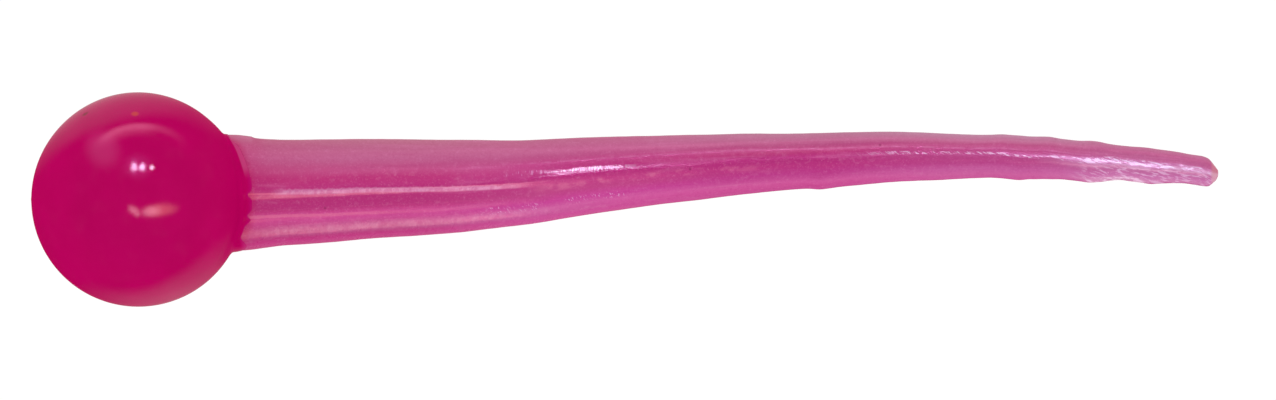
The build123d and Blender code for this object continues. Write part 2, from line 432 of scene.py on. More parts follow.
def creep_lengths():
    """How far the head's material reaches along the tail, for each column."""
    place = COLUMNS * len(ROOT_SECTION) / AROUND
    creep = np.where(
        place <= CREEP_UNDER[0, 0], lookup(CREEP_TOP, ROOT_RING[:, 0]), lookup(CREEP_UNDER, place)
    )
    return creep + 0.012 * waves(np.zeros(AROUND), COLUMNS / AROUND * 6, 1.0, 9)


def collar_rings():
    """Rings of the socket wall, the creep over the tail and the fillet into the
    ball, from deep inside outwards, and each ring's film value."""
    grid, shares, normals = tail_grid(np.arange(4.8, 9.2, SOCKET_STEP))
    root_up = shares[0, :, 1]

    def over_tail(row, height):
        """Points of the tail's surface at these rows, raised by height."""
        return at_row(grid, row) + height * at_row(normals, row)

    # rows where the tail leaves the ball, and where the creep ends
    ball_row = first_cross(np.linalg.norm(grid, axis=2) - HEAD_R)
    underneath = 1 - smooth((root_up + 0.2) / 0.5)
    reach = np.sqrt(grid[..., 0] ** 2 + grid[..., 1] ** 2 + underneath[None] * grid[..., 2] ** 2)
    creep_row = first_cross(reach - (HEAD_R + creep_lengths())[None])
    creep_row = np.maximum(creep_row, ball_row + 14)
    seam_dir = unit(at_row(grid, ball_row))
    seam = seam_dir * HEAD_R
    seam_normal = unit(at_row(normals, ball_row))
    away = unit(seam_normal - (seam_normal * seam_dir).sum(1, keepdims=True) * seam_dir)
    # how far the fillet runs over the ball, evened out round the ring
    run = np.where(root_up > 0.3, 0.40, 0.16)
    run = np.convolve(np.tile(run, 3), np.ones(25) / 25, "same")[AROUND:2 * AROUND]
    angle = (run / HEAD_R)[:, None]
    fillet_end = HEAD_R * (np.cos(angle) * seam_dir + np.sin(angle) * away)
    fillet_row = ball_row + run / SOCKET_STEP * 0.55

    rings = [over_tail(t * creep_row, 0.004) for t in np.linspace(0, 1, 16)]
    rings.append(over_tail(creep_row + 0.25, 0.008))
    film = [1.0] * len(rings)
    # over the creep, back to the ball: thin at its edge, thicker at the ball
    for t in np.linspace(1, 0, 12):
        height = 0.012 + 0.014 * (1 - t**8) + 0.020 * smooth((1 - t) / 0.8)
        rings.append(over_tail(fillet_row + (creep_row - fillet_row) * t, height))
        film.append(t)
    fillet_start = rings[-1]
    fillet_middle = seam + 0.034 * seam_normal
    for t in np.linspace(0, 1, 9)[1:]:
        rings.append((1 - t) ** 2 * fillet_start + 2 * t * (1 - t) * fillet_middle
                     + t**2 * fillet_end)
        film.append(0.0)
    return rings, film


def ball_rings(edge):
    """Rings over the ball, from its edge at the tail to near its far pole at -X."""
    edge_dir = edge / HEAD_R
    theta_edge = np.arccos(edge_dir[:, 0])
    phi_edge = np.unwrap(np.arctan2(edge_dir[:, 2], edge_dir[:, 1]))
    phi_even = phi_edge.mean() - np.pi * (AROUND - 1) / AROUND + 2 * np.pi * COLUMNS / AROUND
    count = 104
    rings = []
    for i in range(1, count):
        t = i / count
        theta = theta_edge + (np.pi - theta_edge) * (0.35 * t + 0.65 * t**1.5)
        even = smooth(t * 1.6)
        phi = phi_edge * (1 - even) + phi_even * even
        direction = [np.cos(theta), np.sin(theta) * np.cos(phi), np.sin(theta) * np.sin(phi)]
        rings.append(HEAD_R * np.stack(direction, 1))
    return rings


def build_head():
    collar, film = collar_rings()
    crease = len(collar)
    ball = ball_rings(collar[-1])
    film += [0.0] * len(ball)
    points = np.array(collar + ball)
    # very slight, long waves in the ball's surface
    outward = points / np.linalg.norm(points, axis=2, keepdims=True)
    dx, dy, dz = outward[..., 0], outward[..., 1], outward[..., 2]
    wave = 0.010 * (
        np.sin(3.1 * dx + 2.0 * dy + 0.4)
        + np.sin(4.3 * dz - 2.7 * dx + 1.9)
        + 0.6 * np.sin(5.2 * dy + 3.3 * dz)
    )
    rings = len(points)
    past_crease = np.arange(rings) - crease
    on_ball = smooth(past_crease / 14.0)[:, None]
    points = points + outward * (wave * on_ball - 0.012 * on_ball)[..., None]
    points = points.reshape(-1, 3)
    # the socket's inner end and the far pole, each closed by a fan
    deep = points[:AROUND].mean(0) + [-0.05, 0, 0]
    points = np.vstack([points, deep, [-HEAD_R * 0.9985, 0, 0]])
    faces = tube_faces(rings)
    last = (rings - 1) * AROUND
    for j in range(AROUND):
        k = (j + 1) % AROUND
        faces.append((j, k, len(points) - 2))
        faces.append((last + k, last + j, len(points) - 1))
    near_tail = 1 - smooth((past_crease - 4) / 11.0)
    # film: 1 in the socket to 0 at the ball, across, nearness to the tail
    film = np.stack(
        [np.repeat(film, AROUND), np.tile(ROOT_RING[:, 0], rings), np.repeat(near_tail, AROUND)], 1
    )
    film = np.vstack([film, [1.0, 0, 1.0], [0.0, 0, 0]])
    return mesh_object("ball_skin", points, faces, {"rest": points, "film": film})


stations, spans = tail_stations()
tail_layers = tail_grid(stations)
tail_pieces = [
    build_tail_piece(k, *(layer[first:last] for layer in tail_layers))
    for k, (first, last) in enumerate(spans)
]
head = build_head()

# ---------------------------------------------------------------------------
# Node trees
# ---------------------------------------------------------------------------

def linear(rgb):
    """Linear RGBA of a display colour given in 0-255."""
    shares = [v / 255 for v in rgb]
    return (*(v / 12.92 if v <= 0.04045 else ((v + 0.055) / 1.055) ** 2.4 for v in shares), 1.0)


class Value:
    """An output socket; arithmetic on it adds nodes to its graph."""

    def __init__(self, graph, socket):
        self.graph = graph
        self.socket = socket

    def __add__(self, other):
        return self.graph.math("ADD", self, other)

    def __radd__(self, other):
        return self.graph.math("ADD", other, self)

    def __sub__(self, other):
        return self.graph.math("SUBTRACT", self, other)

    def __rsub__(self, other):
        return self.graph.math("SUBTRACT", other, self)

    def __mul__(self, other):
        return self.graph.math("MULTIPLY", self, other)

    def __truediv__(self, other):
        return self.graph.math("DIVIDE", self, other)

    def __pow__(self, power):
        return self.graph.math("POWER", self, power)

    def __abs__(self):
        return self.graph.math("ABSOLUTE", self)

    def at_least(self, other):
        return self.graph.math("MAXIMUM", self, other)

    def at_most(self, other):
        return self.graph.math("MINIMUM", self, other)

    def step(self, start, end):
        """0 before start, 1 after end, smooth between. start may be above end."""
        falls = start > end
        inputs = {
            "Value": self, "From Min": min(start, end), "From Max": max(start, end),
            "To Min": 1.0 if falls else 0.0, "To Max": 0.0 if falls else 1.0,
        }
        return self.graph.value("ShaderNodeMapRange", inputs, "Result",
                                interpolation_type="SMOOTHSTEP", clamp=True)

    def tint(self, amount, rgb):
        """This colour, moved by amount towards a display colour."""
        return self.graph.mix(amount, self, linear(rgb))


def product(first, *others):
    for other in others:
        first = first * other
    return first


def hypot(a, b):
    return a.graph.math("SQRT", a * a + b * b)


class Graph:
    """The node tree of a material or world, emptied, and short calls for building it."""

    def __init__(self, owner, output_kind):
        owner.use_nodes = True
        self.tree = owner.node_tree
        self.tree.nodes.clear()
        self.output = self.node(output_kind, {})

    def fill(self, node, inputs):
        """Link or set the node's inputs, given by name or number."""
        for key, value in inputs.items():
            if isinstance(value, Value):
                self.tree.links.new(value.socket, node.inputs[key])
            else:
                node.inputs[key].default_value = value

    def node(self, kind, inputs, **props):
        node = self.tree.nodes.new(kind)
        for key, value in props.items():
            setattr(node, key, value)
        self.fill(node, inputs)
        return node

    def value(self, kind, inputs, output=0, **props):
        return Value(self, self.node(kind, inputs, **props).outputs[output])

    def math(self, operation, a, b=0.0):
        return self.value("ShaderNodeMath", {0: a, 1: b, 2: 0.0}, operation=operation)

    def mix(self, amount, a, b):
        return self.value("ShaderNodeMix", {0: amount, 6: a, 7: b}, 2, data_type="RGBA")

    def mix_shaders(self, amount, a, b):
        return self.value("ShaderNodeMixShader", {0: amount, 1: a, 2: b})

    def attribute(self, name):
        return self.value("ShaderNodeAttribute", {}, "Vector", attribute_name=name)

    def split(self, vector):
        node = self.node("ShaderNodeSeparateXYZ", {0: vector})
        return [Value(self, socket) for socket in node.outputs]

    def join(self, x, y, z):
        return self.value("ShaderNodeCombineXYZ", {0: x, 1: y, 2: z})

    def noise(self, vector, scale=1.0, detail=2.0, rough=0.5, distort=0.0):
        inputs = {"Vector": vector, "Scale": scale, "Detail": detail, "Roughness": rough,
                  "Distortion": distort}
        return self.value("ShaderNodeTexNoise", inputs)

    def ramp(self, position, stops):
        """A colour ramp over 0 to 1, from (position, rgba) stops."""
        node = self.node("ShaderNodeValToRGB", {0: position})
        elements = node.color_ramp.elements
        while len(elements) < len(stops):
            elements.new(0.5)
        for element in elements:
            element.position = 0.0
        for i, (place, rgba) in enumerate(stops):
            elements[i].position = place
            elements[i].color = rgba
        return Value(self, node.outputs[0])

    def bands(self, share, bands):
        """Display colours laid out by a share from -1 to 1."""
        position = self.value("ShaderNodeMapRange",
                              {"Value": share, "From Min": -1.0, "From Max": 1.0},
                              "Result", clamp=True)
        return self.ramp(position, [((at + 1) / 2, linear(rgb)) for at, rgb in bands])

    def bump(self, height, distance, **inputs):
        inputs = {"Strength": 1.0, "Distance": distance, "Height": height, **inputs}
        return self.value("ShaderNodeBump", inputs)

    def near(self, vector, point, radius, soft):
        """1 within radius of a point, 0 beyond radius + soft."""
        distance = self.value("ShaderNodeVectorMath", {0: vector, 1: point}, "Value",
                              operation="DISTANCE")
        return distance.step(radius + soft, radius)

    def specks(self, vector, spacing, radius, keep, seed):
        """Sparse round specks: one per cell at most, in a share of the cells."""
        shifted = self.value("ShaderNodeVectorMath",
                             {0: vector, 1: (seed, seed * 0.7, seed * 1.3)}, operation="ADD")
        cells = self.node("ShaderNodeTexVoronoi", {"Vector": shifted, "Scale": 1.0 / spacing},
                          feature="F1")
        chosen = self.split(Value(self, cells.outputs["Color"]))[0].step(keep + 0.002, keep)
        distance = Value(self, cells.outputs["Distance"])
        return distance.step(radius * 1.7 / spacing, radius / spacing) * chosen


def new_plastic(name):
    material = bpy.data.materials.new(name)
    graph = Graph(material, "ShaderNodeOutputMaterial")
    shader = graph.node("ShaderNodeBsdfPrincipled", {"IOR": 1.46})
    graph.fill(graph.output, {"Surface": Value(graph, shader.outputs[0])})
    return material, graph, shader


# In the materials below, value.step(a, b) is a mask that is 0 at a and 1 at b;
# x, y and z are in millimetres on the straight tail.

# ---------------------------------------------------------------------------
# Head: glossy, opaque, saturated magenta
# ---------------------------------------------------------------------------

def head_material():
    material, graph, shader = new_plastic("glossy_magenta_soft_plastic")
    rest = graph.attribute("rest")
    x, y, _ = graph.split(rest)
    cloud = graph.noise(rest, scale=0.35, detail=3.0, rough=0.55)
    grain = graph.noise(rest, scale=9.0, rough=0.6)
    colour = graph.mix(cloud.step(0.30, 0.72), linear((178, 0, 86)), linear((183, 0, 90)))
    colour = colour.tint(grain.step(0.35, 0.75) * 0.07, (196, 10, 104))
    # the creep over the tail: a thin, clearer film on the +Y side, ending in a
    # fine painted shadow line; thicker and more purple elsewhere
    edge, across, near_tail = graph.split(graph.attribute("film"))
    thin = product(across.step(0.24, 0.50), edge.step(0.02, 0.20), hypot(x, y).step(6.93, 7.02))
    colour = colour.tint(thin * 0.70, (196, 72, 128))
    # painted shadow: a fine dark line along the creep's edge on the +Y side
    edge_shadow_line = across.step(0.20, 0.50) * edge.step(0.86, 0.96)
    colour = colour.tint(edge_shadow_line * 0.50, (156, 26, 84))
    purple = across.step(0.50, 0.20) * edge.step(0.30, 0.95)
    colour = colour.tint(purple * 0.60, (180, 14, 108))
    seep = across.step(-0.80, -0.92) * edge.step(0.45, 1.0)
    colour = colour.tint(seep * 0.75, (190, 46, 116))
    # two coloured spots and a few dark specks
    brown = graph.near(rest, (-3.40, 5.50, 2.33), radius=0.12, soft=0.20)
    orange = graph.near(rest, (-0.20, 5.50, 4.11), radius=0.10, soft=0.24)
    colour = colour.tint(brown * 0.80, (122, 28, 42))
    colour = colour.tint(orange * 0.50, (206, 84, 34))
    specks = graph.specks(rest, spacing=2.6, radius=0.055, keep=0.09, seed=3.7)
    colour = colour.tint(specks * 0.55, (128, 4, 56))
    smudge = graph.noise(rest, scale=0.8, detail=4.0, rough=0.6)
    peel = graph.noise(rest, scale=1.6, rough=0.45)
    pits = specks.at_least(brown.at_least(orange))
    fine = graph.bump(graph.noise(rest, scale=14.0), distance=0.0000016)
    graph.fill(shader, {
        "Base Color": colour,
        "Roughness": 0.085 + smudge.step(0.45, 0.75) * 0.05,
        "Specular IOR Level": 0.5 - near_tail * 0.46,
        "Normal": graph.bump(peel * 0.6 - pits * 0.5, distance=0.0000060, Normal=fine),
    })
    return material


# ---------------------------------------------------------------------------
# Tail: pearl pink, colour and painted highlights laid along the flutes
# ---------------------------------------------------------------------------

# x of each zone, and its colours as (across, display colour)
# the bands hold painted light as well as the plastic's pink: a painted reflection on the pale +Y
# flank, painted highlights along the crests and, in the last zone, along the middle, and a painted
# glow through the lower -Y side
ZONES = [
    (14.0, [
        (-1.00, (196, 42, 132)), (-0.88, (190, 53, 126)), (-0.75, (188, 73, 131)),
        (-0.57, (202, 72, 144)), (-0.45, (199, 68, 140)), (-0.36, (183, 50, 121)),
        (-0.14, (181, 49, 117)), (-0.04, (192, 69, 129)), (0.05, (182, 42, 117)),
        (0.25, (184, 45, 114)), (0.38, (191, 74, 129)), (0.62, (193, 99, 144)),
        (0.80, (187, 100, 138)), (0.90, (186, 104, 136)), (1.00, (188, 112, 138)),
    ]),
    (28.5, [
        (-1.00, (203, 76, 147)), (-0.85, (201, 76, 149)), (-0.68, (210, 90, 160)),
        (-0.52, (200, 64, 149)), (-0.30, (190, 66, 132)), (-0.10, (189, 60, 129)),
        (0.10, (180, 39, 118)), (0.33, (189, 61, 128)), (0.43, (190, 65, 131)),
        (0.52, (189, 76, 133)), (0.70, (192, 97, 143)), (1.00, (188, 102, 138)),
    ]),
    (42.0, [
        (-1.00, (195, 62, 142)), (-0.85, (202, 79, 148)), (-0.72, (207, 88, 155)),
        (-0.45, (187, 58, 136)), (-0.20, (179, 48, 123)), (0.18, (176, 40, 116)),
        (0.34, (186, 61, 121)), (0.43, (196, 82, 138)), (0.51, (184, 74, 128)),
        (0.72, (188, 101, 142)), (1.00, (184, 122, 149)),
    ]),
    (55.5, [
        (-1.00, (200, 78, 149)), (-0.80, (204, 98, 160)), (-0.55, (198, 90, 156)),
        (-0.30, (181, 66, 134)), (-0.05, (180, 66, 130)), (0.12, (184, 76, 136)),
        (0.30, (184, 70, 130)), (0.45, (196, 88, 143)), (0.56, (189, 83, 134)),
        (1.00, (190, 138, 164)),
    ]),
    (65.0, [
        (-1.00, (185, 84, 144)), (-0.85, (206, 130, 179)), (-0.58, (200, 112, 170)),
        (-0.34, (194, 111, 162)), (-0.18, (212, 149, 190)), (-0.06, (222, 162, 206)),
        (0.04, (224, 166, 208)), (0.14, (208, 136, 188)), (0.28, (184, 90, 142)),
        (0.70, (189, 95, 142)), (1.00, (191, 118, 150)),
    ]),
]
SPECKS_XY = [(47.48, 3.49), (35.32, 1.95), (11.96, -0.55)]  # single dark specks on top


def zone_colour(graph, x, across, up):
    """The zones' bands, with painted reflections, highlights and glow among them, wandering a
    little along the tail.
    """
    wander = graph.noise(graph.join(x * 0.22, across * 1.6, up))
    drift = (x.at_most(22.0) - 15.0) * 0.004
    share = (across + drift * x.step(30.0, 24.0)) + (wander - 0.5) * 0.04
    colour = graph.bands(share, ZONES[0][1])
    for (start, _), (end, bands) in zip(ZONES, ZONES[1:]):
        pad = (end - start) * 0.12
        colour = graph.mix(x.step(start + pad, end - pad), colour, graph.bands(share, bands))
    return colour


def underside_and_root(graph, colour, rest, x, y, up):
    """One even pink below, and the head's colour taken up close to it."""
    cloud = graph.noise(rest, scale=0.5, detail=3.0, rough=0.55)
    under = graph.mix(cloud.step(0.3, 0.7), linear((196, 78, 140)), linear((203, 94, 152)))
    under = under.tint(x.step(50.0, 66.0), (206, 126, 172))
    colour = graph.mix(up.step(0.10, -0.45), colour, under)
    from_ball = hypot(x, y)
    colour = colour.tint(x.step(8.6, 6.9) * 0.26, (190, 40, 112))
    colour = colour.tint(x.step(14.0, 8.0) * 0.14, (186, 26, 100))
    return colour.tint(from_ball.step(7.75, 6.95) * 0.80, (184, 4, 90))


def pearl_clouds(graph, colour, rest, x, across, up):
    """Long flow marks, cloudiness and fine speckle, each both paler and darker."""
    flow = graph.noise(graph.join(x * 0.10, across * 3.0, up * 3.0),
                       detail=4.0, rough=0.6, distort=0.4)
    colour = colour.tint(flow.step(0.52, 0.80) * 0.34, (222, 130, 178))
    colour = colour.tint(flow.step(0.46, 0.22) * 0.30, (176, 48, 116))
    mottle = graph.noise(rest, scale=2.6, detail=4.0, rough=0.65)
    colour = colour.tint(mottle.step(0.50, 0.80) * 0.16, (226, 148, 190))
    colour = colour.tint(mottle.step(0.48, 0.24) * 0.14, (168, 40, 108))
    speckle = graph.noise(rest, scale=7.5, detail=3.0, rough=0.75)
    colour = colour.tint(speckle.step(0.52, 0.78) * 0.26, (228, 140, 188))
    return colour.tint(speckle.step(0.46, 0.24) * 0.24, (160, 36, 100))


def crest_lines(graph, colour, x, across, up, past_ridge):
    """Lines of colour along the tail, most of them painted highlights. Also returns the mask of the
    crest's painted highlight.
    """
    # painted highlight: a pale, ragged streak along the crest near the head
    ragged = graph.noise(graph.join(x * 2.4, across * 5.0, 0.0), detail=4.0, rough=0.7)
    crest_at = across - ((x - 10.0) * -0.006 - 0.002)
    upper_edge = crest_at + (ragged - 0.5) * 0.16
    crest_glare_highlight = product(
        upper_edge.step(0.080, 0.030), crest_at.step(-0.060, -0.020),
        x.step(8.3, 9.6), x.step(25.5, 22.5), up.step(0.4, 0.7),
    )
    colour = colour.tint(crest_glare_highlight * (0.20 + ragged.step(0.40, 0.60) * 0.22), (236, 184, 224))
    # a fainter painted highlight along the crest near the -Y edge
    low_crest_highlight = product(
        abs(across + 0.73).step(0.13, 0.02), x.step(7.4, 9.0), x.step(30.0, 22.0),
        up.step(0.3, 0.6),
    )
    colour = colour.tint(low_crest_highlight * (0.04 + ragged.step(0.35, 0.65) * 0.16), (236, 184, 210))
    # a thin warm painted highlight between the two, strongest beside the head
    warm_at = abs(across + (0.425 + (x - 7.6) * 0.0075))
    warm_glint = product(
        (warm_at + (ragged - 0.5) * 0.05).step(0.042, 0.012), x.step(20.0, 9.0),
        x.step(6.9, 7.3), up.step(0.3, 0.6),
    )
    colour = colour.tint(warm_glint * 0.46, (222, 116, 152))
    # a broken warm painted highlight beyond the end of the crest's painted highlight
    broken = graph.noise(graph.join(x * 0.8, across * 3.0, 0.0), detail=3.0, rough=0.6)
    broken_glint = product(
        abs(across + (0.13 + x.step(30.5, 28.0) * 0.05)).step(0.15, 0.02),
        x.step(24.5, 27.0), x.step(42.0, 36.0), up.step(0.2, 0.6), broken.step(0.46, 0.66),
    )
    colour = colour.tint(broken_glint * 0.42, (222, 120, 158))
    # the fine raised line where the two mould faces meet, with a painted highlight along it
    gaps = graph.noise(graph.join(x * 1.1, 0.0, 0.0), detail=3.0, rough=0.6)
    ridge_glint = product(abs(past_ridge).step(0.085, 0.03), x.step(22.0, 27.0), up.step(0.2, 0.5),
                   gaps.step(0.34, 0.60))
    return colour.tint(ridge_glint * 0.22, (226, 140, 190)), crest_glare_highlight


def flake_highlights(graph, colour, x, y, z, across, up):
    """Painted highlights: pale flecks lined up by the flow. Also returns their noise."""
    bend = (x - 50.0).at_least(0.0).at_most(18.0)
    stroke = y + (x * 0.56 - product(bend, bend, 0.0110))
    flake = graph.noise(graph.join(x * 1.5, stroke * 7.0, z),
                        detail=3.0, rough=0.65, distort=0.35)
    # painted highlight: pale flecks where the lamps' highlight runs, wider towards the tip
    centre = (0.170 - x.step(53.0, 58.0) * 0.12) + (
        x.step(60.0, 62.5) - x.step(63.5, 65.5)) * 0.09
    middle = abs(across - centre)
    width = 0.070 + x.step(57.0, 62.0) * 0.120
    highlight_flecks = product((middle / width).step(1.15, 0.55), x.step(45.0, 50.0),
                    flake.step(0.50, 0.59), up.step(0.2, 0.6))
    colour = colour.tint(highlight_flecks * (0.52 + x.step(59.0, 62.0) * 0.28), (244, 214, 250))
    # darker gaps in the painted highlight
    gap = product(middle.step(0.75, 0.20), x.step(58.0, 62.0), flake.step(0.47, 0.38),
                  up.step(-0.2, 0.4))
    colour = colour.tint(gap * 0.50, (186, 88, 146))
    # painted highlights on the -Y side of the tip and on the lumps along its edge
    shine = product(across.step(-0.10, -0.35), x.step(59.0, 62.4), flake.step(0.50, 0.60),
                    up.step(-0.5, 0.1))
    colour = colour.tint(shine * 0.48, (240, 200, 236))
    lump_glints = product(across.step(-0.70, -0.86), x.step(60.0, 61.0), x.step(65.0, 63.8),
                    up.step(-0.6, -0.1))
    return colour.tint(lump_glints * (0.20 + flake.step(0.44, 0.58) * 0.50), (246, 208, 236)), flake


def highlight_ticks(graph, colour, x, y, z, across, up):
    """Painted highlights: short pale ticks about x = 22 to 33. Also returns the bright facet's
    mask.
    """
    tick = graph.noise(graph.join(x * 7.0, y * 1.6, z), rough=0.6)
    patchy = graph.noise(graph.join(x * 0.55, across * 2.0, 0.0))
    # painted highlight on the bright facet, broken into pale ticks
    facet_at = across - (0.190 - x.step(28.6, 33.0) * 0.014)
    facet_half = 0.016 + product(x.step(26.4, 29.2), x.step(33.4, 29.4), 0.056)
    facet = product((abs(facet_at) / facet_half).step(1.25, 0.55), x.step(25.2, 27.2),
                    x.step(32.8, 30.2), up.step(0.3, 0.6))
    colour = colour.tint(facet * (0.04 + tick.step(0.44, 0.58) * 0.34), (246, 214, 250))
    # painted highlight at the start of the facet, towards the head
    early_glints = product(abs(across - 0.215).step(0.07, 0.03), x.step(22.6, 24.0),
                    x.step(27.0, 25.6), tick.step(0.54, 0.62), up.step(0.3, 0.6))
    colour = colour.tint(early_glints * 0.34, (236, 186, 236))
    # a slanted row of painted glints on the -Y side
    row = abs(across + (0.60 - x.step(24.0, 34.0) * 0.08))
    slanted = graph.noise(graph.join((x + y * 0.7) * 8.0, y * 5.0, z), rough=0.6)
    glint_ticks = product(
        row.step(0.11, 0.04), x.step(21.0, 23.0), x.step(33.0, 30.5),
        slanted.step(0.56, 0.64), patchy.step(0.44, 0.56), up.step(0.2, 0.5),
    )
    return colour.tint(glint_ticks * 0.52, (240, 190, 236)), facet


def specks_and_ends(graph, colour, rest, x, across, up):
    """Trapped dark specks, the pale lip beside the head and the pale tip."""
    dark = graph.specks(rest, spacing=1.9, radius=0.035, keep=0.05, seed=1.3)
    for place in SPECKS_XY:
        dark = dark.at_least(graph.near(rest, on_top(*place), radius=0.035, soft=0.09))
    colour = colour.tint(dark * 0.55, (120, 24, 72))
    lip = product(across.step(0.82, 1.0), x.step(7.55, 7.15), up.step(-0.3, 0.0))
    colour = colour.tint(lip * 0.5, (198, 132, 158))
    tip = graph.mix(across.step(0.35, -0.35), linear((200, 124, 142)), linear((214, 158, 176)))
    return graph.mix(x.step(68.60, 68.80) * 0.85, colour, tip)


def dull_mask(x, across, up, past_ridge):
    """Where handling has dulled the tail. Also returns the mask with its edges added."""
    beside = across.step(0.0, 0.06) * across.step(0.44, 0.36)
    dull = beside * product(x.step(32.5, 34.5), x.step(59.0, 52.0), 0.85).at_least(
        x.step(26.6, 25.0) * 0.70)
    for patch in (
        # the -Y side of the middle
        (across.step(-0.62, -0.42), across.step(0.04, -0.03), x.step(23.5, 27.5),
         x.step(61.0, 55.0)),
        # the -Y side near the head
        (across.step(-0.28, -0.34), across.step(-0.52, -0.42), x.step(26.0, 22.0), 0.85),
        # along the ridge
        (abs(past_ridge).step(0.34, 0.14), x.step(20.0, 24.0), 0.80),
        # a strip on the facet's -Y side
        (product(across.step(0.01, 0.04), across.step(0.105, 0.075), x.step(25.0, 26.5),
                 x.step(33.5, 31.5)), 0.85),
    ):
        dull = dull.at_least(product(*patch))
    low_edge = across.step(-0.80, -0.92) * x.step(12.0, 26.0)
    edges = across.step(0.58, 0.72).at_least(low_edge) * up.step(-0.75, -0.35)
    return dull, dull.at_least(edges)


def tail_height(graph, rest, x, y, z, flake, facet):
    """Height for the bump: diagonal flow marks, small steps and a soft peel."""
    slant = math.radians(35)
    diagonal = x * math.sin(slant) + y * math.cos(slant)
    along = x * math.cos(slant) - y * math.sin(slant)
    marks = graph.noise(graph.join(along * 1.3, diagonal * 4.2, z), rough=0.55)
    steps = graph.noise(graph.join(x * 5.0, y * 1.0, z))
    peel = graph.noise(rest, scale=1.4)
    fine = graph.noise(rest, scale=9.0, rough=0.6)
    far = x.step(52.0, 62.0)
    height = (
        marks * (0.8 + far * 1.4)
        + (steps * (1.0 + facet) + flake * far) * 0.8
        + (peel + fine * (0.45 + far * 0.35))
    )
    # smoother in the middle of the tail and on the facet
    calm = product(x.step(31.5, 34.5), x.step(49.0, 45.0), 0.72).at_least(facet * 0.38)
    return height * (1.0 - calm)


def tail_material():
    material, graph, shader = new_plastic("pearl_pink_soft_plastic")
    rest = graph.attribute("rest")
    across, up, past_ridge = graph.split(graph.attribute("sec"))
    x, y, z = graph.split(rest)
    colour = zone_colour(graph, x, across, up)
    colour = underside_and_root(graph, colour, rest, x, y, up)
    colour = pearl_clouds(graph, colour, rest, x, across, up)
    colour, crest_glare_highlight = crest_lines(graph, colour, x, across, up, past_ridge)
    colour, flake = flake_highlights(graph, colour, x, y, z, across, up)
    colour, facet = highlight_ticks(graph, colour, x, y, z, across, up)
    colour = specks_and_ends(graph, colour, rest, x, across, up)
    # roughness: patchy, smoother on the facet, rougher towards -Y near the head
    patch = graph.noise(rest, scale=1.1, detail=3.0, rough=0.6)
    rough = (0.095 + patch.step(0.35, 0.75) * 0.05) - facet * 0.035
    rough = rough + product(across.step(-0.20, -0.36), x.step(34.0, 24.0), 0.05)
    rough = rough + product(across.step(-0.52, -0.64), x.step(34.0, 24.0), 0.12)
    dull, dull_and_edges = dull_mask(x, across, up, past_ridge)
    height = tail_height(graph, rest, x, y, z, flake, facet)
    graph.fill(shader, {
        "Base Color": colour,
        "Specular IOR Level": 0.5 - (dull_and_edges * 0.40 + crest_glare_highlight * 0.24).at_most(0.46),
        "Roughness": rough + dull * 0.20,
        "Normal": graph.bump(height, distance=0.0000060),
    })
    return material


head_plastic, tail_plastic = head_material(), tail_material()
head.data.materials.append(head_plastic)
for piece in tail_pieces:
    piece.data.materials.append(tail_plastic)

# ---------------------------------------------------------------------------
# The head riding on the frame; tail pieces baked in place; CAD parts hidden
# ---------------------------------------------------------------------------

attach(head, "head")
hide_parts("ball_head")
for k, piece in enumerate(tail_pieces):
    hinge = HINGE_X[k] * MM
    hinge - BEND_HALF
    hinge + BEND_HALF
    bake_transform(piece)
    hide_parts(*(["tail_root"] if k == 0 else []), BODIES[k + 1])

# ---------------------------------------------------------------------------
# Studio, in metres
# ---------------------------------------------------------------------------

FLOOR_HALF = 25.0
FLOOR_Z = -0.036  # well below the tail
WHITE = (1, 1, 1, 1)
GLOW = 1.03       # brightness of the floor and the plain surroundings


def build_floor():
    mesh = bpy.data.meshes.new("floor")
    corners = [(-1, -1), (1, -1), (1, 1), (-1, 1)]
    mesh.from_pydata([(x * FLOOR_HALF, y * FLOOR_HALF, FLOOR_Z) for x, y in corners],
                     [], [(0, 1, 2, 3)])
    floor = add_object("floor", mesh)
    floor.visible_glossy = False
    material = bpy.data.materials.new("pale_floor")
    graph = Graph(material, "ShaderNodeOutputMaterial")
    lit = graph.value("ShaderNodeBsdfDiffuse", {"Color": (0.98, 0.98, 0.98, 1)})
    glow = graph.value("ShaderNodeEmission", {"Color": WHITE, "Strength": GLOW})
    graph.fill(graph.output, {"Surface": graph.mix_shaders(0.92, lit, glow)})
    mesh.materials.append(material)


# compass angle from +X in degrees, strength of the pale surroundings low down:
# on the +Y side and, towards +X, on the -Y side
PALE = [
    (-180, 0), (-125, 0), (-110, 0.08), (-90, 0.27), (-70, 0.39), (-45, 0.22), (-30, 0.08),
    (-18, 0), (35, 0), (60, 0.09), (75, 0.23), (90, 0.33), (115, 0.37), (135, 0.28),
    (155, 0.07), (168, 0), (180, 0),
]
# angle, distance from upright at which they begin
PALE_INNER = [
    (-180, 1), (-125, 0.92), (-110, 0.88), (-90, 0.85), (-70, 0.805), (-45, 0.79), (-30, 0.83),
    (-18, 0.90), (35, 0.92), (60, 0.86), (75, 0.82), (90, 0.775), (115, 0.755), (135, 0.815),
    (155, 0.90), (180, 1),
]


